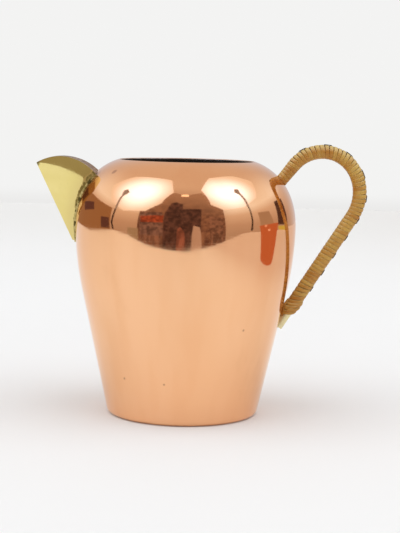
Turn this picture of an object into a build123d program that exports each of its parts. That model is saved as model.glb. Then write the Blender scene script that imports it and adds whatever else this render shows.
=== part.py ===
"""Copper jug with a folded brass spout and a cane-wrapped brass handle.

The jug stands on z = 0 with the axis of its body on Z. The spout points towards -X and the
handle towards +X. Both lie in the plane y = 0.
"""
import os
from math import cos, radians, sin

from build123d import *

os.makedirs("parts", exist_ok=True)

# Body: one spun copper shell, narrow at the base, round-shouldered, with a plain open mouth.
rim_height = 140.0
mouth_radius = 37.0
belly_radius = 60.6
belly_height = 104.5
side_lean = 12.4  # degrees the straight lower side leans outwards
lower_arc = 165.0  # profile radius easing the side into the belly
upper_arc = 45.0  # profile radius just above the belly
upper_turn = 22.0  # degrees of that arc below the shoulder
lip_slope = 17.0  # degrees the shoulder still rises at the mouth
base_corner = 3.0
wall = 0.9
lip_round = 0.4

# Strainer: a triangle of round holes through the wall behind the spout.
strainer_rows = 4
strainer_hole_radius = 2.0
strainer_pitch = 6.4
strainer_top = 125.5
strainer_reach = 25.0  # from 5 mm outside the belly to just inside the wall

# Spout: brass sheet folded about a straight front ridge, its sides curving up to vertical.
tip_x = -82.7
tip_z = 136.8
ridge_foot_x = -62.4
ridge_foot_z = 94.6
crest_x = -66.8
crest_z = 140.7
spout_back_x = -49.3  # the top edges meet the shoulder here
spout_back_z = 132.4
spout_half_width = 15.2  # half of the opening, at the back
spout_inner_x = 1.93  # moving the funnel's apex by these two insets its sides
spout_inner_z = -1.55  # by one 0.8 mm sheet at the back edge and at the ridge
funnel_back_x = -36.0  # well inside the body
solder_leg = 0.9

# Handle: a brass rod bent in one plane, fitted to the wall at both ends, its foot cut square.
handle_top_x = 74.6
handle_top_z = 146.1
top_bend = 20.1
outer_bend = 24.2
top_sweep = 57.0  # degrees of the top bend on the outer side
upper_arm_lean = 52.0  # degrees above horizontal
lower_arm_lean = 32.3  # degrees off vertical
upper_arm_length = 20.0  # drawn on into the body, then trimmed to it
lower_arm_length = 73.5  # down to the square end, which is half against the wall
rod_radius = 2.5

# Cane: close turns over the rod, a thin strand along their back, a binding at the foot.
wrap_radius = 3.95
strand_width = 1.9
strand_thickness = 0.5
binding_start = 56.5  # distance down the lower arm
binding_length = 9.7
binding_radius = 4.8
binding_end_radius = 4.0


def body_fill(grow=0.0, floor=0.0):
    """Fill the space inside the body's outer surface, or inside a surface parallel to it."""
    lean = radians(side_lean)
    slope = radians(lip_slope)
    corner_radius = base_corner - floor
    drop = belly_height - floor - (lower_arc + grow) * sin(lean) - corner_radius * (1 - sin(lean))
    belly = (belly_radius + grow, belly_height)
    lip = (mouth_radius + grow * sin(slope), rim_height + grow * cos(slope))
    closing = [(mouth_radius, rim_height), (0, rim_height), (0, floor)]
    if grow:
        closing.insert(0, lip)
    with BuildSketch(Plane.XZ) as half_section:
        with BuildLine():
            above = JernArc(belly, (0, 1), upper_arc + grow, upper_turn)
            TangentArc(above @ 1, lip, tangent=above % 1)
            below = JernArc(belly, (0, -1), lower_arc + grow, -side_lean)
            side = PolarLine(below @ 1, drop / cos(lean), direction=below % 1)
            corner = JernArc(side @ 1, side % 1, corner_radius, side_lean - 90)
            Line(corner @ 1, (0, floor))
            Polyline(*closing)
        make_face()
    revolve(half_section.sketch, axis=Axis.Z)


with BuildPart() as body_space:
    body_fill()

with BuildPart() as milk_space:
    body_fill(grow=-wall, floor=wall)

with BuildPart() as solder_space:
    body_fill(grow=solder_leg)

with BuildPart() as body:
    add(body_space.part)
    add(milk_space.part, mode=Mode.SUBTRACT)
    fillet(body.edges().group_by(Axis.Z)[-1], radius=lip_round)
    for row in range(strainer_rows):
        height = strainer_top - row * strainer_pitch * sin(radians(60))
        with BuildSketch(Plane.YZ.offset(-belly_radius - 5)):
            with Locations((0, height)):
                with GridLocations(strainer_pitch, 1, strainer_rows - row, 1):
                    Circle(strainer_hole_radius)
        extrude(amount=strainer_reach, mode=Mode.SUBTRACT)
body.part.label = "body"
export_step(body.part, "parts/body.step")


def funnel(apex_x, apex_z):
    """Draw a solid half-funnel from its apex back into the body, all sections similar."""
    scale = (funnel_back_x - apex_x) / (spout_back_x - tip_x)
    ridge_slope = (tip_z - ridge_foot_z) / (ridge_foot_x - tip_x)
    keel = apex_z - ridge_slope * (funnel_back_x - apex_x)
    side = spout_half_width * scale
    side_z = apex_z + (spout_back_z - tip_z) * scale
    top = apex_z + (funnel_back_x - apex_x)
    with BuildSketch(Plane.YZ.offset(funnel_back_x)) as section:
        with BuildLine():
            right = TangentArc((side, side_z), (0, keel), tangent=(0, -1))
            left = TangentArc((-side, side_z), (0, keel), tangent=(0, -1))
            Polyline(right @ 0, (side, top), (-side, top), left @ 0)
        make_face()
    loft(sections=[section.sketch.face(), Vertex(apex_x, 0, apex_z)])


def spout_side_view(foot_z):
    """Fill the spout's side view: arched top, level foot, drawn on past ridge and seam."""
    with BuildSketch(Plane.XZ) as outline:
        with BuildLine():
            arch = ThreePointArc((tip_x, tip_z), (crest_x, crest_z), (spout_back_x, spout_back_z))
            Polyline(
                arch @ 1,
                (spout_back_x + 9, spout_back_z - 9),
                (spout_back_x + 9, foot_z),
                (tip_x - 5, foot_z),
                (tip_x - 5, tip_z - 3),
                arch @ 0,
            )
        make_face()
    extrude(outline.sketch, amount=belly_radius, both=True)


with BuildPart() as spout_side:
    spout_side_view(ridge_foot_z)

with BuildPart() as solder_side:
    spout_side_view(ridge_foot_z - solder_leg)

with BuildPart() as spout_solid:
    funnel(tip_x, tip_z)
    add(spout_side.part, mode=Mode.INTERSECT)
    add(body_space.part, mode=Mode.SUBTRACT)

with BuildPart() as spout_hollow:
    funnel(tip_x + spout_inner_x, tip_z + spout_inner_z)

with BuildPart() as spout:
    add(spout_solid.part)
    add(spout_hollow.part, mode=Mode.SUBTRACT)
spout.part.label = "spout"
export_step(spout.part, "parts/spout.step")

# Solder: a small run along the outside of the seam, joined under the spout's foot.
with BuildPart() as spout_solder:
    funnel(tip_x - spout_inner_x, tip_z - spout_inner_z)
    add(solder_space.part, mode=Mode.INTERSECT)
    add(solder_side.part, mode=Mode.INTERSECT)
    add(body_space.part, mode=Mode.SUBTRACT)
    add(spout_solid.part, mode=Mode.SUBTRACT)
spout_solder.part.label = "spout_solder"
export_step(spout_solder.part, "parts/spout_solder.step")


def handle_line(lower_length):
    """Draw the handle's centreline from inside the shoulder, over the top, down the lower arm."""
    lean = radians(upper_arm_lean)
    start_x = handle_top_x - top_bend * sin(lean) - upper_arm_length * cos(lean)
    start_z = handle_top_z - top_bend * (1 - cos(lean)) - upper_arm_length * sin(lean)
    upper_arm = PolarLine((start_x, start_z), upper_arm_length, upper_arm_lean)
    over = JernArc(upper_arm @ 1, upper_arm % 1, top_bend, -upper_arm_lean - top_sweep)
    around = JernArc(over @ 1, over % 1, outer_bend, top_sweep - 90 - lower_arm_lean)
    PolarLine(around @ 1, lower_length, direction=around % 1)


with BuildLine(Plane.XZ) as rod_line:
    handle_line(lower_arm_length)

with BuildLine(Plane.XZ) as wrap_line:
    handle_line(binding_start)

upper_lean = radians(upper_arm_lean)
start_plane = Plane(
    origin=rod_line.line @ 0,
    x_dir=(-sin(upper_lean), 0, cos(upper_lean)),  # towards the back of the handle
    z_dir=(cos(upper_lean), 0, sin(upper_lean)),
)

with BuildPart() as handle_rod:
    with BuildSketch(start_plane):
        Circle(rod_radius)
    sweep(path=rod_line.line)
    add(body_space.part, mode=Mode.SUBTRACT)
handle_rod.part.label = "handle_rod"
export_step(handle_rod.part, "parts/handle_rod.step")

with BuildPart() as cane_wrap:
    with BuildSketch(start_plane):
        Circle(wrap_radius)
        Circle(rod_radius, mode=Mode.SUBTRACT)
    sweep(path=wrap_line.line)
    add(body_space.part, mode=Mode.SUBTRACT)
cane_wrap.part.label = "cane_wrap"
export_step(cane_wrap.part, "parts/cane_wrap.step")

with BuildPart() as spine_strand:
    with BuildSketch(start_plane):
        Circle(wrap_radius + strand_thickness)
        Circle(wrap_radius, mode=Mode.SUBTRACT)
        with Locations((wrap_radius, 0)):
            Rectangle(4 * strand_thickness, strand_width, mode=Mode.INTERSECT)
    sweep(path=wrap_line.line)
    add(body_space.part, mode=Mode.SUBTRACT)
spine_strand.part.label = "spine_strand"
export_step(spine_strand.part, "parts/spine_strand.step")

# The binding is a barrel turned about the lower arm, flattened where it bears on the body.
arm_end = wrap_line.line @ 1
arm_direction = wrap_line.line % 1
with BuildPart() as lower_binding:
    with BuildSketch(Plane(origin=arm_end, x_dir=arm_direction, z_dir=(0, -1, 0))):
        with BuildLine():
            barrel = ThreePointArc(
                (0, binding_end_radius),
                (binding_length / 2, binding_radius),
                (binding_length, binding_end_radius),
            )
            Polyline(barrel @ 1, (binding_length, rod_radius), (0, rod_radius), barrel @ 0)
        make_face()
    revolve(axis=Axis(arm_end, arm_direction))
    add(body_space.part, mode=Mode.SUBTRACT)
lower_binding.part.label = "lower_binding"
export_step(lower_binding.part, "parts/lower_binding.step")
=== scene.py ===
"""Looks of the copper jug with a folded brass spout and a cane-wrapped brass handle.

All lengths are in metres in the part's own frame: the jug stands on z = 0, its spout points
towards -X and its handle towards +X.
"""
import random
from math import cos, pi, radians, sin, tan

import bmesh
import bpy
import numpy as np
from mathutils import Matrix, Vector


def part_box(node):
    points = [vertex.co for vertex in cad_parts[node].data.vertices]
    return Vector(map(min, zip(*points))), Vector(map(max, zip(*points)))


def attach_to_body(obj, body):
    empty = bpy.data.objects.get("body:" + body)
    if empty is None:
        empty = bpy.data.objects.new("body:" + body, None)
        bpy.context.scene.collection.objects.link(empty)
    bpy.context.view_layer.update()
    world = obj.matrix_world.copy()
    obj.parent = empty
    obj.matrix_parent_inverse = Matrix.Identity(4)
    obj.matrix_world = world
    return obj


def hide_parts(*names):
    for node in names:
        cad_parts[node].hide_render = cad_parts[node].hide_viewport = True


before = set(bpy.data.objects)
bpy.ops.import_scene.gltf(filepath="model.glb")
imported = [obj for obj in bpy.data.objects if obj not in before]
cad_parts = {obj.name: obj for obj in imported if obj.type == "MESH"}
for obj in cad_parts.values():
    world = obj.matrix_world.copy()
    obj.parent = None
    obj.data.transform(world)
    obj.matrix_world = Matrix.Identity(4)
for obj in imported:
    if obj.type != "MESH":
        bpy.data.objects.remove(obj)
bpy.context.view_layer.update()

MM = 0.001
dice = random.Random(7)

# --- sizes
body_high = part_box("body")[1]
rod_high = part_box("handle_rod")[1]

belly_radius = body_high[0]
belly_height = 104.5 * MM
rim_height = 140 * MM
mouth_radius = 37 * MM
side_lean = radians(12.4)
lower_arc = 165 * MM
upper_arc = 45 * MM
upper_turn = radians(22)
base_corner = 3 * MM
wall = 0.9 * MM

strainer_rows = 4
strainer_hole_radius = 2 * MM
strainer_pitch = 6.4 * MM
strainer_top = 125.5 * MM
strainer_margin = 5 * MM  # the cutting rods start this far outside the belly
strainer_reach = 25 * MM  # and end inside the body
body_segments = 264

tip = np.array([-82.7, 136.8]) * MM
ridge_foot = np.array([-62.4, 94.6]) * MM
crest = np.array([-66.8, 140.7]) * MM
spout_back = np.array([-49.3, 132.4]) * MM
spout_half_width = 15.2 * MM
spout_inset = np.array([1.93, -1.55]) * MM  # from the sheet's outer apex to its inner one
spout_rear = -43.5 * MM  # inside the body, before the sheet is cut to it
swelling = 0.3 * MM  # the sheet's outer face rises this much to meet the solder,
swell_reach = 2 * MM  # starting this far from the body
swell_run = 1.2 * MM  # and full after this much
seam_touch = 0.08 * MM  # a point of the spout is on the seam when it is this near the body

rod_radius = 2.5 * MM
wrap_radius = 3.95 * MM
top_bend = 20.1 * MM
outer_bend = 24.2 * MM
upper_arm_lean = radians(52)
top_sweep = radians(57)
lower_arm_lean = radians(32.3)
upper_arm_length = 20 * MM
binding_start = 56.5 * MM
binding_length = 9.7 * MM
coiled_share = 0.71  # of the binding's length; the tie's end takes up the rest
binding_lean = radians(27)
binding_bow = radians(15)
binding_run = 13 * MM  # the last turns take up the binding's lean and bow along this
shoulder_lean = radians(16)  # the first turn's lean against the shoulder
shoulder_run = 11 * MM  # along which that lean dies out
shoulder_overlap = 1.7 * MM  # the first turn starts this far inside the shoulder
shoulder_slimming = 0.5 * MM  # the wrap is thinner by this at the shoulder
slimming_run = 16 * MM
cane_pitch = 2.2 * MM
cane_unevenness = 0.14  # share by which a turn may be wider or narrower
turn_gaps = (0, 0, 0, 0, 0.03, 0.09)  # in mm; most turns touch
pass_gap = 0.15 * MM  # where the spine strand goes under
wrap_ease = 0.1 * MM  # keeps the highest turns inside the wrap's radius
clearance = 0.02 * MM  # between the rod and the cane on it
body_clearance = 0.03 * MM  # between the body and the cane against it
spine_half_width = 0.9 * MM
spine_half_thickness = 0.2 * MM
spine_sunk = 0.85 * MM  # how deep the strand lies when it is under the turns
spine_rise = 0.9 * MM  # and how far it comes up to lie over them
binding_half_width = 0.9 * MM

# Where the strand along the handle's back lies over the turns, in mm along the centreline.
spine_floats = (
    (25.9, 30.6), (38.0, 42.6), (48.9, 53.4), (59.9, 65.3), (72.6, 76.9),
    (84.1, 88.4), (95.2, 99.6), (107.0, 111.3), (118.2, 122.7), (129.3, 133.6),
)

tiny = 1e-9  # keeps divisions by a length away from zero


# --- material helpers
def feed(tree, socket, value):
    """Link a socket or set it; a colour is given by its red, green and blue."""
    if isinstance(value, bpy.types.NodeSocket):
        tree.links.new(value, socket)
    else:
        socket.default_value = (*value, 1.0) if socket.type == "RGBA" else value


def add_node(tree, kind, inputs=(), **settings):
    """Add a shader node. Inputs map socket names or numbers to values or to other sockets."""
    node = tree.nodes.new("ShaderNode" + kind)
    for name, value in settings.items():
        setattr(node, name, value)
    for name, value in dict(inputs).items():
        feed(tree, node.inputs[name], value)
    return node


def arith(tree, operation, *values):
    return add_node(tree, "Math", enumerate(values), operation=operation).outputs[0]


def mix(tree, factor, a, b):
    """Colour a where the factor is 0, colour b where it is 1."""
    return add_node(tree, "Mix", {0: factor, 6: a, 7: b}, data_type="RGBA").outputs[2]


def remap(tree, value, low, high, to_low=0.0, to_high=1.0):
    """An S-shaped ramp, level outside low and high."""
    inputs = {"Value": value, "From Min": low, "From Max": high}
    inputs |= {"To Min": to_low, "To Max": to_high}
    return add_node(tree, "MapRange", inputs, interpolation_type="SMOOTHSTEP").outputs[0]


def remap_linear(tree, value, low, high):
    inputs = {"Value": value, "From Min": low, "From Max": high}
    return add_node(tree, "MapRange", inputs).outputs[0]


def noise(tree, vector, scale, detail=2.0, rough=0.5):
    inputs = {"Vector": vector, "Scale": scale, "Detail": detail, "Roughness": rough}
    return add_node(tree, "TexNoise", inputs).outputs[0]


def stretch(tree, vector, x, y, z):
    return add_node(tree, "Mapping", {"Vector": vector, "Scale": (x, y, z)}).outputs[0]


def place(tree):
    """The position on the object, in metres in the part's frame."""
    return add_node(tree, "TexCoord").outputs["Object"]


def world_place(tree):
    """The position in the scene, in metres."""
    return add_node(tree, "NewGeometry").outputs["Position"]


def component(tree, vector, axis):
    """X (0), Y (1) or Z (2) of a vector."""
    return add_node(tree, "SeparateXYZ", {0: vector}).outputs[axis]


def attribute(tree, name):
    return add_node(tree, "Attribute", attribute_name=name).outputs["Fac"]


def roughen(tree, height, strength, depth, **inputs):
    """Normals disturbed by a height pattern."""
    inputs |= {"Height": height, "Strength": strength, "Distance": depth}
    return add_node(tree, "Bump", inputs).outputs[0]


def dress(tree, surface, inputs):
    """Feed a surface's inputs by name."""
    for name, value in inputs.items():
        feed(tree, surface.inputs[name], value)


def new_material(name, metal=0.0):
    """A material with one Principled surface; returns it with its tree and its surface node."""
    material = bpy.data.materials.new(name)
    material.use_nodes = True
    surface = material.node_tree.nodes["Principled BSDF"]
    surface.inputs["Metallic"].default_value = metal
    return material, material.node_tree, surface


spot_core = 0.4  # share of a spot's radius that is fully marked


def spots(tree, where, marks):
    """1 on small round marks, 0 elsewhere. Each mark is ((x, y, z), radius)."""
    total = 0.0
    for centre, radius in marks:
        reach = add_node(tree, "VectorMath", {0: where, 1: centre}, operation="DISTANCE")
        mark = remap(tree, reach.outputs["Value"], spot_core * radius, radius, 1.0, 0.0)
        total = arith(tree, "MAXIMUM", total, mark)
    return total


# --- materials
specks = (
    ((0.0320, -0.0425, 0.0527), 0.9 * MM),
    ((-0.0305, -0.0357, 0.0244), 0.9 * MM),
    ((-0.0091, -0.0459, 0.0235), 0.8 * MM),
    ((0.0110, -0.0550, 0.0700), 0.4 * MM),
    ((0.0020, -0.0500, 0.0370), 0.4 * MM),
    ((-0.0380, -0.0297, 0.1340), 2.2 * MM),
)
seam_dark_reach = (1.5 * MM, 5.5 * MM)  # darkest up to the first from the seam, clear past the second


def copper_material():
    """Mirror-polished copper: fine turning lines, faint smears, specks, darker by the spout's seam.
    """
    material, tree, surface = new_material("polished_copper", metal=1.0)
    where = place(tree)
    lines = noise(tree, stretch(tree, where, 6, 6, 1500), 1.0, 3.0, 0.6)
    smear = noise(tree, stretch(tree, where, 1, 1, 0.5), 34.0, 4.0, 0.55)
    cloud = noise(tree, where, 16.0, 3.0, 0.5)
    pale, deep = (0.95, 0.55, 0.305), (0.935, 0.525, 0.28)
    base = mix(tree, remap(tree, cloud, 0.35, 0.65), pale, deep)
    streak = noise(tree, stretch(tree, where, 1, 1, 0.07), 75.0, 2.0, 0.5)
    streaked = mix(tree, remap(tree, streak, 0.42, 0.68, 0.0, 0.5), base, (0.91, 0.49, 0.255))
    stained = mix(tree, remap(tree, smear, 0.60, 0.8, 0.0, 0.4), streaked, (0.78, 0.40, 0.20))
    speck = arith(tree, "MULTIPLY", spots(tree, where, specks), 0.5)
    # Darker beside the spout's seam.
    ragged = arith(tree, "ADD", attribute(tree, "seam"), arith(tree, "MULTIPLY", smear, 2 * MM))
    dark_by_seam = remap(tree, ragged, *seam_dark_reach, 0.85, 0.0)
    stained = mix(tree, dark_by_seam, stained, (0.40, 0.19, 0.085))
    colour = mix(tree, speck, stained, (0.22, 0.09, 0.05))
    polish = remap(tree, lines, 0.3, 0.7, 0.045, 0.085)
    worn = arith(tree, "ADD", polish, remap(tree, smear, 0.55, 0.8, 0.0, 0.06))
    roughness = arith(tree, "ADD", worn, arith(tree, "MULTIPLY", speck, 0.3))
    turned = roughen(tree, lines, 0.04, 0.02 * MM)
    wavy = roughen(tree, noise(tree, where, 42.0, 1.0, 0.4), 0.5, 0.03 * MM, Normal=turned)
    dress(tree, surface, {"Base Color": colour, "Roughness": roughness, "Normal": wavy})
    return material


def tin_material():
    """Dull tinned lining, greyed and streaked by use."""
    material, tree, surface = new_material("tinned_lining", metal=0.7)
    where = place(tree)
    streak = noise(tree, stretch(tree, where, 1, 1, 0.15), 120.0, 4.0, 0.6)
    patch = noise(tree, where, 45.0, 5.0, 0.65)
    base = mix(tree, remap(tree, streak, 0.35, 0.7), (0.33, 0.28, 0.24), (0.46, 0.42, 0.38))
    stained = mix(tree, remap(tree, patch, 0.5, 0.75, 0.0, 0.6), base, (0.15, 0.125, 0.10))
    roughness = remap(tree, patch, 0.3, 0.7, 0.34, 0.6)
    grainy = roughen(tree, patch, 0.3, 0.1 * MM)
    dress(tree, surface, {"Base Color": stained, "Roughness": roughness, "Normal": grainy})
    return material


smear_heights = (98 * MM, 132 * MM)
smear_widths = (0.2 * MM, 1.9 * MM)  # of the solder smeared on the spout, at those heights
tip_dark_spot = ((-0.0825, 0.0, 0.1366), 2.4 * MM)


def tarnished(tree, where, clean_colour):
    """A colour with solder smeared and tarnish spread along the seam; returns the smear too."""
    seam = attribute(tree, "seam")
    lump = noise(tree, where, 380.0, 3.0, 0.6)
    wobble = arith(tree, "MULTIPLY", arith(tree, "SUBTRACT", lump, 0.5), 3.0 * MM)
    width = remap(tree, component(tree, where, 2), *smear_heights, *smear_widths)
    past_smear = arith(tree, "SUBTRACT", arith(tree, "ADD", seam, wobble), width)
    smear = remap(tree, past_smear, 0.0, 0.9 * MM, 0.92, 0.0)
    dull = remap(tree, seam, 1.5 * MM, 9 * MM, 0.45, 0.0)
    dulled = mix(tree, dull, clean_colour, (0.66, 0.50, 0.20))
    run = mix(tree, remap(tree, lump, 0.4, 0.62), (0.20, 0.14, 0.03), (0.50, 0.37, 0.13))
    smeared = mix(tree, smear, dulled, run)
    # A darker spot at the spout's tip.
    corner = arith(tree, "MULTIPLY", spots(tree, where, [tip_dark_spot]), 0.8)
    return mix(tree, corner, smeared, (0.12, 0.10, 0.05)), smear


def brass_material(name, pale, deep, polish, metal=1.0, soldered=False):
    """Polished brass sheet or rod: fine rubbed scratches, faint clouding, darker specks.

    A soldered sheet is smeared and tarnished along its seam.
    """
    material, tree, surface = new_material(name, metal)
    where = place(tree)
    rubbed = noise(tree, stretch(tree, where, 60, 900, 260), 1.0, 3.0, 0.6)
    cloud = noise(tree, where, 55.0, 3.0, 0.5)
    fleck = noise(tree, where, 900.0, 2.0, 0.5)
    base = mix(tree, remap(tree, cloud, 0.35, 0.65), pale, deep)
    colour = mix(tree, remap(tree, fleck, 0.72, 0.8, 0.0, 0.35), base, (0.30, 0.22, 0.08))
    roughness = remap(tree, rubbed, 0.3, 0.7, polish, polish + 0.04)
    if soldered:
        colour, smear = tarnished(tree, where, colour)
        roughness = arith(tree, "ADD", roughness, arith(tree, "MULTIPLY", smear, 0.4))
    scratched = roughen(tree, rubbed, 0.05, 0.03 * MM)
    dress(tree, surface, {"Base Color": colour, "Roughness": roughness, "Normal": scratched})
    return material


def solder_material():
    """Brassy solder run, lumpy and darkened in places along the seam."""
    material, tree, surface = new_material("seam_solder", metal=1.0)
    where = place(tree)
    lump = noise(tree, where, 420.0, 3.0, 0.6)
    dirt = noise(tree, where, 330.0, 2.0, 0.5)
    base = mix(tree, remap(tree, lump, 0.35, 0.65), (0.36, 0.28, 0.09), (0.60, 0.47, 0.20))
    dark = mix(tree, remap(tree, dirt, 0.47, 0.56, 0.0, 0.9), base, (0.085, 0.065, 0.015))
    roughness = remap(tree, dirt, 0.45, 0.65, 0.25, 0.6)
    lumpy = roughen(tree, lump, 0.6, 0.2 * MM)
    dress(tree, surface, {"Base Color": dark, "Roughness": roughness, "Normal": lumpy})
    return material


def cane_material(name, pale, deep, dark, painted_top_light, edge_shade):
    """Split cane: fibres along the strand, tone that drifts from turn to turn, and painted
    shade at the edges, in the grooves where the turns meet.

    Light and shade are painted in: paler on top, where the light falls on it, and darker
    below, in shade.
    """
    material, tree, surface = new_material(name)
    along = attribute(tree, "along")
    across = attribute(tree, "across")
    combined = add_node(tree, "CombineXYZ", {0: along, 1: arith(tree, "MULTIPLY", across, MM)})
    fibre = noise(tree, stretch(tree, combined.outputs[0], 90, 5200, 1), 1.0, 3.0, 0.6)
    drift = noise(tree, stretch(tree, combined.outputs[0], 34, 1, 1), 1.0, 2.0, 0.6)
    patch = noise(tree, place(tree), 140.0, 3.0, 0.6)
    broad = noise(tree, place(tree), 48.0, 2.0, 0.5)
    tone = remap(tree, drift, 0.32, 0.68, 0.0, 0.6)
    tone = arith(tree, "ADD", tone, remap(tree, patch, 0.35, 0.7, 0.0, 0.3))
    tone = arith(tree, "ADD", tone, remap(tree, broad, 0.42, 0.62, 0.0, 0.4))
    # Painted light and shade: paler where the cane faces up to the light, darker where it faces
    # down.
    upward = component(tree, add_node(tree, "NewGeometry").outputs["Normal"], 2)
    painted_underside_shade = remap(tree, upward, -0.9, 0.1, 0.3, 0.0)
    underside_shaded = mix(tree, painted_underside_shade, mix(tree, tone, pale, deep), deep)
    base = mix(tree, remap(tree, upward, 0.1, 0.9, 0.0, 0.65), underside_shaded, painted_top_light)
    grain = mix(tree, remap(tree, fibre, 0.48, 0.72, 0.0, 0.45), base, dark)
    # Painted shade at each strand's edges, in the grooves between turns.
    edge = remap(tree, arith(tree, "ABSOLUTE", across), 0.8, 1.05, 0.0, edge_shade)
    dress(tree, surface, {
        "Base Color": mix(tree, edge, grain, dark),
        "Roughness": remap(tree, fibre, 0.35, 0.7, 0.34, 0.58),
        "Specular IOR Level": 0.4,
        "Coat Weight": 0.10,
        "Coat Roughness": 0.22,
        "Normal": roughen(tree, fibre, 0.5, 0.12 * MM),
    })
    return material


copper = copper_material()
tin = tin_material()
sheet_brass = brass_material(
    "spout_brass", (0.86, 0.72, 0.29), (0.81, 0.67, 0.25), polish=0.035, soldered=True,
)
inner_brass = brass_material(
    "spout_lining", (0.55, 0.52, 0.46), (0.42, 0.39, 0.34), polish=0.35, metal=0.45,
)
rod_brass = brass_material(
    "rod_brass", (0.88, 0.78, 0.43), (0.78, 0.68, 0.38), polish=0.3, metal=0.5,
)
solder = solder_material()
cane = cane_material(
    "split_cane",
    pale=(0.61, 0.385, 0.08),
    deep=(0.44, 0.175, 0.014),
    dark=(0.20, 0.088, 0.014),
    painted_top_light=(0.66, 0.53, 0.20),
    edge_shade=0.22,
)
dark_cane = cane_material(
    "dark_cane",
    pale=(0.17, 0.11, 0.04),
    deep=(0.09, 0.055, 0.022),
    dark=(0.03, 0.02, 0.01),
    painted_top_light=(0.20, 0.14, 0.06),
    edge_shade=0.5,
)


# --- mesh helpers
def new_object(name, vertices, faces, material=None):
    mesh = bpy.data.meshes.new(name)
    mesh.from_pydata([tuple(v) for v in vertices], [], faces)
    mesh.shade_smooth()
    made = bpy.data.objects.new(name, mesh)
    bpy.context.scene.collection.objects.link(made)
    if material:
        mesh.materials.append(material)
    return made


def attach(piece, node):
    """Put a finished piece on the body, in place of a CAD node."""
    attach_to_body(piece, "root")
    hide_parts(node)


# --- body
def arc(centre, radius, start, end, steps):
    """Points of an arc with their outward normals, leaving out the first."""
    angles = np.linspace(start, end, steps + 1)[1:]
    normals = np.stack([np.cos(angles), np.sin(angles)], 1)
    return np.array(centre) + radius * normals, normals


base_points = 12  # points of the profile across the flat base


def outer_profile():
    """Radius and height of the body's outer surface from base to lip, with outward normals."""
    foot_radius = belly_radius - lower_arc * (1 - cos(side_lean))
    foot = np.array([foot_radius, belly_height - lower_arc * sin(side_lean)])
    corner_top = base_corner * (1 - sin(side_lean))
    corner_edge = foot[0] - (foot[1] - corner_top) * tan(side_lean)
    corner = (corner_edge - base_corner * cos(side_lean), base_corner)
    base = np.stack([np.linspace(0, corner[0], base_points), np.zeros(base_points)], 1)
    side = np.linspace((corner_edge, corner_top), foot, 25)[1:]
    lower_centre = (belly_radius - lower_arc, belly_height)
    upper_centre = np.array([belly_radius - upper_arc, belly_height])
    upper_end = upper_centre + upper_arc * np.array([cos(upper_turn), sin(upper_turn)])
    out = np.array([cos(upper_turn), sin(upper_turn)])
    reach = np.array([mouth_radius, rim_height]) - upper_end
    shoulder_radius = -reach.dot(reach) / (2 * reach.dot(out))
    shoulder_centre = upper_end - out * shoulder_radius
    to_lip = np.array([mouth_radius, rim_height]) - shoulder_centre
    lip_angle = np.arctan2(to_lip[1], to_lip[0]) - wall / 2 / shoulder_radius
    parts = [
        (base, np.tile((0, -1), (len(base), 1))),
        arc(corner, base_corner, -pi / 2, -side_lean, 8),
        (side, np.tile((cos(side_lean), -sin(side_lean)), (len(side), 1))),
        arc(lower_centre, lower_arc, -side_lean, 0, 30),
        arc(upper_centre, upper_arc, 0, upper_turn, 16),
        arc(shoulder_centre, shoulder_radius, upper_turn, lip_angle, 36),
    ]
    return np.concatenate([p for p, n in parts]), np.concatenate([n for p, n in parts])


outer, outer_normals = outer_profile()


def surface_radius(height):
    """The body's outer radius at a height."""
    return np.interp(height, outer[base_points:, 1], outer[base_points:, 0])


def shell_profile():
    """The whole wall in one line: outside, rounded lip, inside. Also its first tinned point."""
    lip_round = wall / 2
    out = outer_normals[-1]
    onward = np.array([-out[1], out[0]])
    turn = np.linspace(0, pi, 11)[1:-1, None]
    lip_normals = out * np.cos(turn) + onward * np.sin(turn)
    lip = outer[-1] - lip_round * out + lip_round * lip_normals
    inner = (outer - wall * outer_normals)[::-1]
    inner[-1, 0] = 0
    keep = list(range(0, len(inner) - 1, 2)) + [len(inner) - 1]
    points = np.concatenate([outer, lip, inner[keep]])
    normals = np.concatenate([outer_normals, lip_normals, -outer_normals[::-1][keep]])
    first_tinned = len(outer) + 3
    return points, normals, first_tinned


def lathe(name, points, segments):
    """Turn a line that starts and ends on the axis into a closed mesh; rings go bottom to top."""
    angles = np.linspace(0, 2 * pi, segments, endpoint=False)
    rings = points[1:-1]
    xs = np.outer(rings[:, 0], np.cos(angles))
    ys = np.outer(rings[:, 0], np.sin(angles))
    zs = np.repeat(rings[:, 1:], segments, 1)
    vertices = np.stack([xs, ys, zs], 2).reshape(-1, 3)
    first, last = len(vertices), len(vertices) + 1
    vertices = np.concatenate([vertices, [(0, 0, points[0, 1]), (0, 0, points[-1, 1])]])
    top = (len(rings) - 1) * segments
    faces = []
    for j in range(segments):
        after = (j + 1) % segments
        faces.append((first, after, j))
        faces.append((last, top + j, top + after))
        for i in range(len(rings) - 1):
            low, high = i * segments, (i + 1) * segments
            faces.append((low + j, low + after, high + after, high + j))
    return new_object(name, vertices, faces)


def strainer_centres():
    """Across and up positions of the strainer's holes, in rows of 4, 3, 2 and 1."""
    for row in range(strainer_rows):
        height = strainer_top - row * strainer_pitch * sin(radians(60))
        count = strainer_rows - row
        for i in range(count):
            yield (i - (count - 1) / 2) * strainer_pitch, height


def from_bmesh(name, work):
    """Turn a bmesh into an object of the scene."""
    data = bpy.data.meshes.new(name)
    work.to_mesh(data)
    work.free()
    made = bpy.data.objects.new(name, data)
    bpy.context.scene.collection.objects.link(made)
    return made


def strainer_cutter():
    """Rods that cut the strainer's holes."""
    rods = bmesh.new()
    turn = Matrix.Rotation(pi / 2, 4, "Y")
    middle = -belly_radius - strainer_margin + strainer_reach / 2
    for across, height in strainer_centres():
        spot = Matrix.Translation((middle, across, height))
        bmesh.ops.create_cone(
            rods, cap_ends=True, segments=32, radius1=strainer_hole_radius,
            radius2=strainer_hole_radius, depth=strainer_reach, matrix=spot @ turn,
        )
    return from_bmesh("strainer_cutter", rods)


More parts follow.
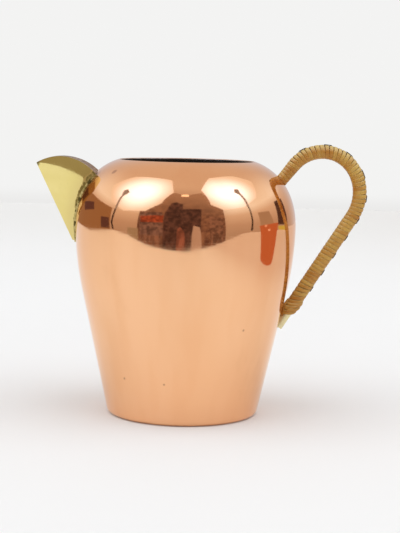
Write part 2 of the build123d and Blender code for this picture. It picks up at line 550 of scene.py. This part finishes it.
def clean(mesh):
    """Merge the points that a cut leaves almost on top of each other and split large faces."""
    work = bmesh.new()
    work.from_mesh(mesh)
    bmesh.ops.remove_doubles(work, verts=work.verts, dist=0.004 * MM)
    bmesh.ops.dissolve_degenerate(work, edges=work.edges, dist=0.001 * MM)
    many_sided = [face for face in work.faces if len(face.verts) > 4]
    bmesh.ops.triangulate(work, faces=many_sided, ngon_method="BEAUTY")
    work.to_mesh(mesh)
    work.free()


def cut_away(piece, cutters):
    """Subtract the cutters from a piece and remove them."""
    for cutter in cutters:
        step = piece.modifiers.new(cutter.name, "BOOLEAN")
        step.object = cutter
        step.solver = "EXACT"
    graph = bpy.context.evaluated_depsgraph_get()
    result = bpy.data.meshes.new_from_object(piece.evaluated_get(graph))
    piece.modifiers.clear()
    clean(result)
    piece.data = result
    for cutter in cutters:
        bpy.data.objects.remove(cutter)


def read(items, field, width, kind=float):
    """One field of all vertices, corners or faces of a mesh, a row for each."""
    values = np.empty(len(items) * width, kind)
    items.foreach_get(field, values)
    return values.reshape(-1, width)


def note(piece, name, values):
    """Keep one number per vertex, for the piece's material."""
    layer = piece.data.attributes.new(name, "FLOAT", "POINT")
    layer.data.foreach_set("value", values.astype(np.float32))


def profile_normals(positions, points, normals):
    """Exact surface normals at positions on or near the lathed surface."""
    flat = np.stack([np.hypot(positions[:, 0], positions[:, 1]), positions[:, 2]], 1)
    start, step = points[:-1], np.diff(points, axis=0)
    length2 = (step**2).sum(1)
    found = np.empty((len(flat), 2))
    batch = 4000
    for low in range(0, len(flat), batch):
        part = flat[low : low + batch, None, :]
        share = np.clip(((part - start) * step).sum(2) / length2, 0, 1)
        gap = ((start + share[..., None] * step - part) ** 2).sum(2)
        best = gap.argmin(1)
        t = share[np.arange(len(best)), best][:, None]
        found[low : low + batch] = normals[best] * (1 - t) + normals[best + 1] * t
    found /= np.linalg.norm(found, axis=1)[:, None]
    radius = np.maximum(flat[:, 0], tiny)
    around = positions[:, :2] / radius[:, None]
    return np.concatenate([around * found[:, :1], found[:, 1:]], 1)


def corner_normals(mesh, points, normals):
    """Exact normals at the face corners of the cut body: the wall's, or those of a hole's bore."""
    positions = read(mesh.vertices, "co", 3)
    corner = read(mesh.loops, "vertex_index", 1, int)[:, 0]
    sides = read(mesh.polygons, "loop_total", 1, int)[:, 0]
    flat = np.repeat(read(mesh.polygons, "normal", 3), sides, 0)
    exact = profile_normals(positions, points, normals)[corner]
    in_bore = np.abs((flat * exact).sum(1)) < cos(radians(45))
    at = positions[corner]
    away = at[:, None, 1:] - np.array(list(strainer_centres()))
    closest = (away**2).sum(2).argmin(1)
    away = away[np.arange(len(at)), closest]
    away /= np.maximum(np.linalg.norm(away, axis=1), tiny)[:, None]
    bore = np.concatenate([np.zeros((len(at), 1)), -away], 1)
    exact[in_bore] = bore[in_bore]
    return exact


def build_body():
    points, normals, first_tinned = shell_profile()
    body = lathe("jug_body", points, body_segments)
    body.data.materials.append(copper)
    body.data.materials.append(tin)
    bands = np.concatenate([[0, len(points) - 2], np.arange(len(points) - 3)])
    band = np.tile(bands, body_segments)
    body.data.polygons.foreach_set("material_index", (band >= first_tinned - 1).astype(int))
    cut_away(body, [strainer_cutter()])
    body.data.shade_smooth()
    body.data.normals_split_custom_set(corner_normals(body.data, points, normals).tolist())
    attach(body, "body")
    return body


jug_body = build_body()


# --- spout
def nearest(points, targets):
    """How far each point is from the nearest of the targets."""
    return np.array([np.linalg.norm(targets - point, axis=1).min() for point in points])


def gap_to_body(points):
    """How far points outside the body lie from its outer surface."""
    around = np.stack([np.hypot(points[:, 0], points[:, 1]), points[:, 2]], 1)
    samples = 2400
    heights = np.linspace(outer[base_points, 1], outer[-1, 1], samples)
    return nearest(around, np.stack([surface_radius(heights), heights], 1))


def mark_seam(spout):
    """Note on spout and body how far each vertex lies from the seam between them."""
    at = read(spout.data.vertices, "co", 3)
    gap = gap_to_body(at)
    seam = at[gap < seam_touch]
    body_at = read(jug_body.data.vertices, "co", 3)
    away = np.ones(len(body_at))  # a metre, so never near
    beside_spout = (body_at[:, 0] < -30 * MM) & (body_at[:, 2] > 80 * MM)
    away[beside_spout] = nearest(body_at[beside_spout], seam)
    note(spout, "seam", gap)
    note(jug_body, "seam", away)


def circle_through(a, b, c):
    """Centre and radius of the circle through three points."""
    rows = np.array([b - a, c - a])
    centre = a + np.linalg.solve(rows, (rows**2).sum(1) / 2)
    return centre, np.linalg.norm(a - centre)


arch_centre, arch_radius = circle_through(tip, crest, spout_back)


def spout_sheet(apex, stations, steps):
    """One face of the folded sheet, as a section across it at each of the stations along X.

    A section runs from one top edge over the ridge to the other. Its sides curve up to vertical
    at the arched top edge.
    """
    slope = (tip[1] - ridge_foot[1]) / (ridge_foot[0] - tip[0])
    rows = []
    for x in stations:
        half = spout_half_width * (x - apex[0]) / (spout_back[0] - tip[0])
        top = arch_centre[1] + np.sqrt(arch_radius**2 - (x - arch_centre[0]) ** 2)
        depth = top - apex[1] + slope * (x - apex[0])
        if half < 1e-4 * MM:
            ys, zs = np.zeros(steps + 1), top - depth * np.linspace(0, 1, steps + 1)
        else:
            bend = (half**2 + depth**2) / (2 * half)
            angles = np.linspace(0, -np.arcsin(min(1, depth / bend)), steps + 1)
            ys, zs = half - bend + bend * np.cos(angles), top + bend * np.sin(angles)
        ys, zs = np.concatenate([ys, -ys[-2::-1]]), np.concatenate([zs, zs[-2::-1]])
        rows.append(np.stack([np.full(len(ys), x), ys, zs], 1))
    return np.array(rows)


def swell(rows):
    """Raise the sheet's outer face near the body, so that it meets the solder."""
    gap = gap_to_body(rows.reshape(-1, 3)).reshape(rows.shape[:2])
    rise = swelling * np.clip((swell_reach - gap) / swell_run, 0, 1)
    along = np.gradient(rows[..., 1:], axis=1)
    out = np.stack([along[..., 1], -along[..., 0]], 2)
    out /= np.maximum(np.linalg.norm(out, axis=2), tiny)[..., None]
    out *= np.where(out[:, :1, :1] < 0, -1, 1)
    ridge = rows.shape[1] // 2
    out[:, ridge] = (0, -1)
    swollen = rows.copy()
    swollen[..., 1:] += rise[..., None] * out
    return swollen


def body_fill():
    """The body's outer surface as a solid, to cut pieces that are soldered to it."""
    top = [(0, outer[-1, 1])]
    return lathe("body_fill", np.concatenate([outer, top]), body_segments)


def below_foot():
    """A block that cuts the spout off level at its foot."""
    size = 60 * MM
    centre = Matrix.Translation((-60 * MM, 0, ridge_foot[1] - size / 2))
    block = bmesh.new()
    bmesh.ops.create_cube(block, size=size, matrix=centre)
    return from_bmesh("below_foot", block)


def weld(mesh):
    """Join points that coincide and turn all faces outwards."""
    work = bmesh.new()
    work.from_mesh(mesh)
    bmesh.ops.remove_doubles(work, verts=work.verts, dist=1e-4 * MM)
    bmesh.ops.recalc_face_normals(work, faces=work.faces)
    work.to_mesh(mesh)
    work.free()


def build_spout():
    """The folded sheet: an outer face, a lining, and the edges between them."""
    count, steps = 72, 26
    outside = swell(spout_sheet(tip, np.linspace(tip[0], spout_rear, count), steps))
    apex = tip + spout_inset
    inside = spout_sheet(apex, np.linspace(apex[0], spout_rear, count), steps)
    across = 2 * steps + 1
    start = count * across
    faces, lining = [], []
    for i in range(count - 1):
        for j in range(across - 1):
            a, b = i * across + j, (i + 1) * across + j
            faces.append((a, a + 1, b + 1, b))
            lining.append((start + a, start + b, start + b + 1, start + a + 1))
        for j in (0, across - 1):
            a, b = i * across + j, (i + 1) * across + j
            faces.append((a, b, start + b, start + a))
    last = (count - 1) * across
    for j in range(across - 1):
        faces.append((last + j, last + j + 1, start + last + j + 1, start + last + j))
    vertices = np.concatenate([outside, inside]).reshape(-1, 3)
    spout = new_object("folded_spout", vertices, faces + lining, sheet_brass)
    spout.data.materials.append(inner_brass)
    spout.data.polygons.foreach_set("material_index", [0] * len(faces) + [1] * len(lining))
    weld(spout.data)
    cut_away(spout, [body_fill(), below_foot()])
    spout.data.shade_smooth()
    spout.data.set_sharp_from_angle(angle=radians(25))
    mark_seam(spout)
    attach(spout, "spout")


build_spout()


# --- handle
over_length = top_bend * (upper_arm_lean + top_sweep)
around_length = outer_bend * (pi / 2 + lower_arm_lean - top_sweep)
over_end = upper_arm_length + over_length
binding_at = over_end + around_length + binding_start


def handle_place(distance):
    """Position, heading and outward direction of the handle's centreline, in X and Z.

    The distance is measured along it from inside the shoulder.
    """
    bend, back = top_bend, 0.0
    pivot = np.array([rod_high[0] - rod_radius - outer_bend, rod_high[2] - rod_radius - top_bend])
    pivot[0] += (outer_bend - top_bend) * sin(top_sweep)
    if distance < upper_arm_length:
        heading = upper_arm_lean
        back = distance - upper_arm_length
    elif distance < over_end:
        heading = upper_arm_lean - (distance - upper_arm_length) / top_bend
    else:
        bend = outer_bend
        pivot += (top_bend - outer_bend) * np.array([sin(top_sweep), cos(top_sweep)])
        turned = min(distance - over_end, around_length)
        heading = -top_sweep - turned / outer_bend
        back = distance - over_end - turned
    forward = np.array([cos(heading), sin(heading)])
    outward = np.array([-forward[1], forward[0]])
    return pivot + bend * outward + back * forward, forward, outward


def by_handle(at_handle, out, side, shift=0.0):
    """A point out from the handle's centreline, towards the camera's side, and along it."""
    spot, forward, outward = at_handle
    x, z = spot + out * outward + shift * forward
    return x, -side, z


def round_handle(at_handle, angle, section, crown, half_width, tilt, bow, spread=0.0):
    """A cane section on the rod at an angle round it, on a turn that leans, bows and fans out."""
    ring = []
    for a, h in zip(*section):
        radius = rod_radius + clearance + crown * h
        out, side = radius * cos(angle), radius * sin(angle)
        shift = a * half_width * (1 + spread * out) + tilt * out + bow * side
        ring.append(by_handle(at_handle, out, side, shift))
    return ring


def shoulder_distance():
    """How far along the handle's centreline it leaves the body."""
    distances = np.linspace(0, upper_arm_length + 5 * MM, 500)
    places = np.array([handle_place(distance)[0] for distance in distances])
    outside = places[:, 0] > surface_radius(places[:, 1])
    return distances[outside.argmax()]


shoulder_at = shoulder_distance()


def clear_of_body(points, gap):
    """Press points that would enter the body flat against its outer surface."""
    radius = np.hypot(points[..., 0], points[..., 1])
    limit = surface_radius(points[..., 2]) + gap
    grow = np.where((radius < limit) & (points[..., 2] < rim_height), limit / radius, 1.0)
    moved = points.copy()
    moved[..., :2] *= grow[..., None]
    return moved


def seat(ring, forward):
    """Slide points that lie inside the body along the handle until they rest on its surface."""
    ring = np.array(ring)
    step = 0.04 * MM * np.array([forward[0], 0, forward[1]])
    most_steps = 120
    for _ in range(most_steps):
        inside = np.hypot(ring[:, 0], ring[:, 1]) < surface_radius(ring[:, 2])
        inside &= ring[:, 2] < rim_height
        if not inside.any():
            break
        ring[inside] += step
    return ring


def strand(name, rings, across, material, closed=False):
    """Skin a strand from its sections; note how far along and across each point lies."""
    count, size = rings.shape[:2]
    rings = clear_of_body(rings, body_clearance)
    faces = []
    for k in range(count if closed else count - 1):
        low, high = k * size, (k + 1) % count * size
        for m in range(size):
            after = (m + 1) % size
            faces.append((low + m, low + after, high + after, high + m))
    if not closed:
        faces.append(tuple(range(size))[::-1])
        faces.append(tuple((count - 1) * size + m for m in range(size)))
    made = new_object(name, rings.reshape(-1, 3), faces, material)
    steps = np.linalg.norm(np.diff(rings.mean(1), axis=0), axis=1)
    grain_start = dice.uniform(0, 5)
    along = np.concatenate([[0], np.cumsum(steps)]) + grain_start
    note(made, "along", np.repeat(along, size))
    note(made, "across", np.tile(across, count))
    return made


def cane_section(points, edge):
    """Across and height, both up to 1, of a split cane strand: flat below, crowned above."""
    across = np.cos(np.linspace(0, pi, points))
    height = edge + (1 - edge) * np.sqrt(np.maximum(0, 1 - np.abs(across) ** 3.2))
    across = np.concatenate([across, [-1.1, 0.0, 1.1]])
    height = np.concatenate([height, [0.02, 0.0, 0.02]])
    return across, height


def ramp(value, low, high):
    """0 below low, 1 above high, straight in between."""
    return min(1.0, max(0.0, (value - low) / (high - low)))


def slimmer(distance):
    """How much thinner the wrap is at a distance along the handle than farther on."""
    return shoulder_slimming * (1 - ramp(distance, shoulder_at, shoulder_at + slimming_run))


def wrap_turns(start):
    """Middles and widths of the turns, laid side by side up to the binding.

    A turn beside a place where the spine strand goes under leaves a wider gap.
    """
    widths, gaps, reach = [], [], 0.0
    passes = [end * MM for ends in spine_floats for end in ends]
    while start + reach < binding_at:
        width = cane_pitch * dice.uniform(1 - cane_unevenness, 1 + cane_unevenness)
        gap = dice.choice(turn_gaps) * MM
        if any(reach < end - start <= reach + width for end in passes):
            gap = pass_gap
        widths.append(width)
        gaps.append(gap)
        reach += width + gap
    widths = np.array(widths)
    starts = np.concatenate([[0], np.cumsum(widths + gaps)])
    return start + starts[:-1] + widths / 2, widths


def build_wrap():
    """Close turns of one cane strand wound round the rod from the shoulder to the binding.

    The first turns lie along the shoulder; the last lean and bow like the binding's coils.
    """
    middles, widths = wrap_turns(shoulder_at - shoulder_overlap)
    lift = [dice.uniform(-0.06, 0.05) * MM for _ in widths]
    turns = np.arange(len(widths))
    section = cane_section(9, 0.85)
    thickness = wrap_radius - wrap_ease - rod_radius
    per_turn = 40
    rings = []
    for turn in np.arange(turns[-1] * per_turn + 1) / per_turn:
        angle = 2 * pi * turn + pi * 1.5
        middle = np.interp(turn, turns, middles)
        width = np.interp(turn, turns, widths)
        crown = thickness + np.interp(turn, turns, lift) - slimmer(middle)
        on_shoulder = 1 - ramp(middle, shoulder_at, shoulder_at + shoulder_run)
        to_binding = ramp(middle, binding_at - binding_run, binding_at)
        tilt = tan(shoulder_lean) * on_shoulder - tan(binding_lean) * to_binding
        bow = tan(binding_bow) * to_binding
        spread = 0.0  # how the turns fan out where their lean changes
        if on_shoulder > 0:
            spread = -tan(shoulder_lean) / shoulder_run
        elif to_binding > 0:
            spread = -tan(binding_lean) / binding_run
        at = handle_place(middle)
        ring = round_handle(at, angle, section, crown, width / 2, tilt, bow, spread)
        rings.append(seat(ring, at[1]))
    wrap = strand("cane_wrap_turns", np.array(rings), section[0], cane)
    attach(wrap, "cane_wrap")


def build_spine():
    """A thin dark strand along the back of the handle, over and under groups of turns."""
    across = np.array([1, 0.92, 0, -0.92, -1, -0.92, 0, 0.92])
    height = np.array([0, 0.85, 1, 0.85, 0, -0.85, -1, -0.85])
    start, end = shoulder_at + 2.5 * MM, binding_at - 2.5 * MM
    rings = []
    for distance in np.arange(start, end, 0.25 * MM):
        within = max(min(distance - low * MM, high * MM - distance) for low, high in spine_floats)
        rise = ramp(within, -0.4 * MM, 0.8 * MM)
        rise = rise * rise * (3 - 2 * rise)
        radius = wrap_radius - spine_sunk + spine_rise * rise - slimmer(distance)
        wander = 0.15 * MM * sin(distance / MM * 0.45)
        at = handle_place(distance)
        rings.append([
            by_handle(at, radius + h * spine_half_thickness, -wander - a * spine_half_width)
            for a, h in zip(across, height)
        ])
    spine = strand("spine_strand_woven", np.array(rings), across, dark_cane)
    attach(spine, "spine_strand")


def build_binding():
    """The foot binding: five bowed, overlapping coils and one strand drawn across them."""
    section = cane_section(11, 0.6)
    extra_leans = (0, 5, -5, 4, -2)
    coils = len(extra_leans)
    for i in range(coils):
        share = (i + 0.5) / coils
        at = handle_place(binding_at + share * coiled_share * binding_length)
        barrel = (3.95 + 0.6 * (1 - (2 * share - 0.8) ** 2)) * MM
        lean = tan(binding_lean + radians(extra_leans[i]))
        bow = tan(binding_bow + radians(i))
        rings = [
            round_handle(at, angle, section, barrel - rod_radius, binding_half_width, -lean, bow)
            for angle in np.linspace(0, 2 * pi, 48, endpoint=False)
        ]
        coil = strand(f"binding_coil_{i + 1}", np.array(rings), section[0], cane, closed=True)
        attach(coil, "lower_binding")
    rings = []
    for share in np.linspace(0, 1, 30):
        at = handle_place(binding_at + (0.05 + share) * binding_length)
        angle = radians(165 - 35 * share)
        radius = rod_radius + (1.3 + 0.7 * sin(pi * share) - 0.8 * share**4) * MM
        ring = []
        for a, h in zip(*section):
            reach = radius + h * 0.5 * MM
            swing = angle + a * binding_half_width / radius
            ring.append(by_handle(at, reach * cos(swing), reach * sin(swing)))
        rings.append(ring[::-1])
    tie = strand("binding_tie", np.array(rings), section[0][::-1], cane)
    attach(tie, "lower_binding")


build_wrap()
build_spine()
build_binding()

# --- carried-over parts
for node, material, slot in (
    ("spout_solder", solder, "solder"),
    ("handle_rod", rod_brass, "brass"),
):
    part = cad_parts[node]
    for index in range(len(part.material_slots)):
        part.material_slots[index].link = "OBJECT"
        part.material_slots[index].material = material


# --- studio
def glow_material(name, colour, build=None):
    """A plain light-giving material; build may add a pattern to its colour."""
    material = bpy.data.materials.new(name)
    material.use_nodes = True
    tree = material.node_tree
    tree.nodes.clear()
    if build:
        colour = build(tree, colour)
    glow = add_node(tree, "Emission", {"Color": colour, "Strength": 1.0})
    output = add_node(tree, "OutputMaterial")
    tree.links.new(glow.outputs[0], output.inputs[0])
    return material


def direction(azimuth, elevation):
    """Unit vector; azimuth 0 is towards the camera and grows to its right."""
    a, e = radians(azimuth), radians(elevation)
    return Vector((sin(a) * cos(e), -cos(a) * cos(e), sin(e)))


jug_centre = Vector((0, -0.045, 0.115))


def only_reflected(thing):
    """Seen only in polished surfaces."""
    thing.visible_camera = False
    thing.visible_diffuse = False
    thing.visible_shadow = False
    thing.visible_transmission = False


def flat_shape(name, corners, material):
    """One face that is seen only reflected."""
    only_reflected(new_object(name, corners, [tuple(range(len(corners)))], material))


def softbox(name, azimuth, elevation, outline, hot_spot):
    """A softbox one metre away, with its outline and brightest point in its own plane."""
    facing = direction(azimuth, elevation)
    across = facing.cross(Vector((0, 0, 1))).normalized()
    up = across.cross(facing)
    centre = jug_centre + facing
    corners = [centre + u * across + v * up for u, v in outline]
    hot = centre + hot_spot[0] * across + hot_spot[1] * up

    def falloff(tree, colour):
        inputs = {0: world_place(tree), 1: tuple(hot)}
        reach = add_node(tree, "VectorMath", inputs, operation="DISTANCE")
        edge = remap(tree, reach.outputs["Value"], 0.05, 0.66)
        return mix(tree, edge, colour, (1.0, 0.98, 0.98))

    flat_shape(name, corners, glow_material(name, (2.2, 2.6, 3.8), falloff))
    light = bpy.data.lights.new(name + "_light", "SUN")
    light.angle = radians(60)
    light.energy = 0.80
    lamp = bpy.data.objects.new(name + "_light", light)
    lamp.rotation_euler = facing.to_track_quat("Z", "Y").to_euler()
    lamp.visible_glossy = False
    bpy.context.scene.collection.objects.link(lamp)


left_outline = (
    (-0.06, 0.43), (-0.51, 0.20), (-0.68, -0.235), (-0.52, -0.62),
    (0.0, -0.78), (0.42, -0.60), (0.63, -0.20), (0.45, 0.17),
)
right_outline = (
    (-0.13, 0.353), (0.36, 0.162), (0.656, -0.321), (0.50, -0.60),
    (0.0, -0.66), (-0.40, -0.48), (-0.66, 0.0), (-0.50, 0.24),
)
softbox("left_softbox", -70, 55, left_outline, (-0.08, -0.17))
softbox("right_softbox", 69, 58, right_outline, (0.07, -0.18))


def clutter(tree, colour):
    """Warm, dim, uneven room tone, lighter towards the ceiling."""
    where = world_place(tree)
    blotch = noise(tree, stretch(tree, where, 1, 1, 1.6), 3.2, 4.0, 0.6)
    uneven = mix(tree, remap(tree, blotch, 0.35, 0.7), colour, (0.30, 0.17, 0.12))
    ceiling = remap(tree, component(tree, where, 2), 0.6, 1.7)
    return mix(tree, ceiling, uneven, (0.42, 0.28, 0.21))


def dappled(tree, colour):
    """The same colour broken into lighter and darker blotches."""
    blotch = noise(tree, world_place(tree), 7.0, 3.0, 0.65)
    dim = tuple(0.6 * c for c in colour)
    bright = tuple(1.4 * c for c in colour)
    return mix(tree, remap(tree, blotch, 0.38, 0.64), dim, bright)


# The room that the copper reflects: light-giving tones, each plain or with a pattern.
tones = {
    "dim_room": ((0.13, 0.065, 0.05), clutter),
    "red_band": ((0.34, 0.085, 0.045), dappled),
    "dark_panel": ((0.10, 0.055, 0.05), dappled),
    "grey_panel": ((0.19, 0.12, 0.11), dappled),
    "brown_panel": ((0.23, 0.13, 0.10), dappled),
    "fold_red": ((0.26, 0.11, 0.085), dappled),
    "pale_panel": ((0.52, 0.40, 0.36), None),
    "black_stand": ((0.05, 0.03, 0.025), None),
    "grey_stand": ((0.34, 0.32, 0.34), None),
    "brown_block": ((0.33, 0.19, 0.10), None),
    "dark_patch": ((0.12, 0.06, 0.055), None),
    "orange_block": ((0.55, 0.17, 0.075), None),
    "dark_block": ((0.085, 0.045, 0.035), None),
    "yellow_foot": ((0.62, 0.55, 0.12), None),
    "grey_box": ((0.43, 0.315, 0.24), None),
    "warm_lamp": ((1.5, 1.25, 1.05), None),
    "tub_glint": ((0.95, 0.55, 0.42), None),
    "olive_gap": ((0.38, 0.31, 0.235), None),
}
glows = {name: glow_material(name, colour, build) for name, (colour, build) in tones.items()}

# Flat cards: name, tone, distance from the jug, and the directions of the corners.
cards = (
    ("dim_room", "dim_room", 1.9, (
        (-50, -14), (-50, 24), (-32, 30), (-30, 44), (-16, 54),
        (0, 50), (24, 54), (32, 38), (42, 26), (42, -14),
    )),
    ("panel_left", "grey_panel", 1.8, ((-47, -6), (-49, 19), (-25, 22), (-22, -6))),
    ("panel_left_foot", "brown_panel", 1.79, ((-45, -13), (-46, -6), (-24, -6), (-23, -13))),
    ("panel_left_band", "red_band", 1.75, ((-47, 7.5), (-48, 15), (-23, 18), (-23, 9))),
    ("panel_right", "brown_panel", 1.8, ((26, -13), (25, 18), (39, 16), (40, -13))),
    ("drape_left", "dark_panel", 1.75, ((-23, -14), (-22, 21), (-16, 36), (-3, 38), (-2, -14))),
    ("drape_right", "dark_panel", 1.76, ((-3, -14), (-3, 28), (18, 28), (16, 5), (14, -14))),
    ("drape_fold", "fold_red", 1.72, ((-9, -14), (-8, 1), (-5, 4), (-1, -2), (1, -14))),
    ("pale_post", "pale_panel", 1.7, ((6, -14), (8.5, 6), (15, 4), (18, -14))),
    ("lamp", "warm_lamp", 1.7, ((-6, 47.5), (-6, 51), (-1, 52), (5, 51), (4, 47.5))),
    ("stand_left", "black_stand", 1.2, (
        (-80, -4), (-82.7, 3), (-82, 12), (-81.6, 24),
        (-79.6, 24), (-79.8, 12), (-80.4, 3), (-78, -4),
    )),
    ("stand_left_top", "grey_stand", 0.9, (
        (-82.0, 17), (-83.4, 32), (-88, 39), (-86, 43),
        (-78, 40), (-78.5, 37), (-80.6, 32), (-79.2, 17),
    )),
    ("stand_right", "black_stand", 1.2, (
        (71, -2), (73, 8), (73.6, 18), (73.8, 30), (75.4, 30), (75.3, 18), (75, 8), (73.5, -2),
    )),
    ("stand_right_top", "grey_stand", 0.9, (
        (72.9, 24), (74.4, 42), (72, 47), (79, 51), (83.5, 49), (78.4, 43), (75.6, 24),
    )),
    ("block_left", "brown_block", 1.6, (
        (-83, -4), (-85, 17), (-128, 16), (-150, 9), (-166, 3), (-160, -4),
    )),
    ("patch_high", "dark_patch", 1.5, ((-112, 9), (-117, 13.5), (-138, 7), (-131, 4))),
    ("patch_low", "dark_patch", 1.5, ((-84, -3), (-86, 7), (-98, 6), (-96, -3.5))),
    ("block_right", "dark_block", 1.5, ((111, 0.6), (114, 18), (130, 15), (131, -1.4))),
    ("block_right_foot", "yellow_foot", 1.45, ((112, -3.4), (111, -0.4), (127, -1.6), (128, -4.4))),
    ("box_right", "grey_box", 1.55, ((84, 2.5), (83.4, 15.8), (100, 14), (104, 2.1))),
    ("floor_gap", "olive_gap", 1.7, ((-49, -20), (-49, -0.5), (-61, -0.5), (-61, -20))),
)


def build_cards():
    for name, tone, distance, corners in cards:
        towards = [direction(*corner) for corner in corners]
        middle = sum(towards, Vector()).normalized()
        vertices = [jug_centre + way * (distance / way.dot(middle)) for way in towards]
        flat_shape(name, vertices, glows[tone])


def build_tub():
    """A small tapered orange tub standing to the right, with two glints on it."""
    middle, count = 0.385, 24
    turn = np.linspace(0, 2 * pi, count, endpoint=False)
    corners = []
    for y, z, radius in ((-0.008, 0.017, 0.061), (0.0, 0.122, 0.092)):
        corners += [(middle + radius * cos(a), y + radius * sin(a), z) for a in turn]
    faces = [(i, (i + 1) % count, count + (i + 1) % count, count + i) for i in range(count)]
    faces.append(tuple(range(count, 2 * count)))
    only_reflected(new_object("orange_tub", corners, faces, glows["orange_block"]))
    before_tub = 0.284
    for y, z in ((-0.038, 0.116), (-0.016, 0.096)):
        turn = np.linspace(0, 2 * pi, 16, endpoint=False)
        spot = [(before_tub, y + 0.009 * cos(a), z + 0.0045 * sin(a)) for a in turn]
        flat_shape("tub_glint", spot, glows["tub_glint"])


def build_spout_shade():
    """A small brown card past the spout, which darkens what the copper by the seam reflects."""
    corners = ((0.001, 0.101), (0.014, 0.101), (0.014, 0.114), (0.001, 0.114))
    flat_shape("spout_shade", [(-0.103, y, z) for y, z in corners], glows["brown_block"])


build_cards()
build_tub()
build_spout_shade()


def white_material(name, axis, low, high, far):
    """A matt white top with painted shade: it darkens towards another tone along X (0) or Y (1)."""
    material, tree, surface = new_material(name)
    where = place(tree)
    uneven = noise(tree, where, 3.0, 2.0, 0.5)
    white = mix(tree, uneven, (0.85, 0.85, 0.855), (0.87, 0.87, 0.87))
    # Painted shade, towards the far tone.
    shaded = mix(tree, remap(tree, component(tree, where, axis), low, high), white, far)
    dress(tree, surface, {"Base Color": shaded, "Roughness": 0.55, "Specular IOR Level": 0.2})
    return material


table_outline = (
    (-1.05, 0.45), (-1.36, -0.30), (-0.86, -0.535), (-0.35, -0.515), (0.0, -0.515),
    (0.2, -0.557), (0.53, -0.63), (1.01, -0.67), (1.8, -0.67), (1.8, 1.76), (-1.05, 1.76),
)


def build_table():
    """A round floor the camera sees, and a table with a front edge that the metal reflects."""
    radius, count = 1.76, 96
    turn = np.linspace(0, 2 * pi, count, endpoint=False)
    rim = [(radius * cos(a), radius * sin(a), 0) for a in turn]
    # Painted shade: the floor darkens towards the back.
    floor_white = white_material("white_floor", 1, 0.45, 1.5, (0.80, 0.795, 0.785))
    floor = new_object("floor", rim, [tuple(range(count))], floor_white)
    floor.visible_glossy = False
    # Painted shade: the reflected table darkens and warms towards the orange tub on the right.
    table_white = white_material("white_table", 0, 0.12, 0.42, (0.71, 0.62, 0.58))
    flat_shape("table", [(x, y, 0.1 * MM) for x, y in table_outline], table_white)


build_table()

# Tones of the reflected room to either side, from just below the horizon (0) to overhead (1).
side_tones = (
    (0.0, (0.48, 0.37, 0.31)),
    (0.18, (0.56, 0.43, 0.36)),
    (0.36, (0.74, 0.63, 0.56)),
    (0.47, (0.99, 1.04, 1.10)),
    (0.63, (0.94, 0.94, 0.95)),
    (0.85, (0.82, 0.74, 0.69)),
    (1.0, (0.72, 0.60, 0.53)),
)


def paint(node, stages):
    """Set a colour ramp's stops."""
    stops = node.color_ramp.elements
    while len(stops) < len(stages):
        stops.new(0.5)
    for stop, (at, colour) in zip(stops, stages):
        stop.position = at
        stop.color = (*colour, 1.0)


def build_world():
    """Pale backdrop for the camera, soft fill for matt surfaces, a white room for the metal."""
    world = bpy.data.worlds.new("studio")
    bpy.context.scene.world = world
    world.use_nodes = True
    tree = world.node_tree
    tree.nodes.clear()
    towards = add_node(tree, "SeparateXYZ", {0: add_node(tree, "TexCoord").outputs["Generated"]})
    x, y, z = towards.outputs
    low_white, high_white = (0.835, 0.83, 0.82), (0.898, 0.897, 0.89)
    backdrop = mix(tree, remap(tree, z, -0.066, -0.052), low_white, high_white)
    side = add_node(tree, "ValToRGB", {0: remap_linear(tree, z, -0.1, 1.0)})
    paint(side, side_tones)
    beside = remap(tree, arith(tree, "ABSOLUTE", x), 0.35, 0.8)
    low_wall, ceiling = (0.66, 0.62, 0.64), (0.73, 0.62, 0.55)
    behind = mix(tree, remap(tree, z, 0.2, 0.9), low_wall, ceiling)
    ahead = remap(tree, y, -0.75, -0.35, 1.0, 0.0)
    open_room = mix(tree, ahead, behind, (0.55, 0.42, 0.35))
    room = mix(tree, beside, open_room, side.outputs[0])
    path = add_node(tree, "LightPath")
    fill = (0.68, 0.68, 0.68)
    seen = mix(tree, path.outputs["Is Glossy Ray"], fill, room)
    colour = mix(tree, path.outputs["Is Camera Ray"], seen, backdrop)
    light = add_node(tree, "Background", {"Color": colour, "Strength": 1.0})
    output = add_node(tree, "OutputWorld")
    tree.links.new(light.outputs[0], output.inputs[0])


build_world()

camera_at = (0.00841, -0.751, 0.16425)
camera_tilt = radians(6.3)  # downwards
camera_roll = radians(1.283)
lens, sensor = 92.15, 36


def build_camera():
    """A little above the jug's rim, looking slightly down, with a long lens."""
    forward = Vector((0, cos(camera_tilt), -sin(camera_tilt)))
    right = Vector((1, 0, 0))
    up = right.cross(forward)
    across = cos(camera_roll) * right + sin(camera_roll) * up
    upright = cos(camera_roll) * up - sin(camera_roll) * right
    camera = bpy.data.objects.new("camera", bpy.data.cameras.new("camera"))
    pose = Matrix((across, upright, -forward)).transposed().to_4x4()
    pose.translation = Vector(camera_at)
    camera.matrix_world = pose
    camera.data.sensor_width = sensor
    camera.data.lens = lens
    camera.data.clip_start = 0.01
    bpy.context.scene.collection.objects.link(camera)
    bpy.context.scene.camera = camera


build_camera()
bpy.context.scene.view_settings.view_transform = "Standard"
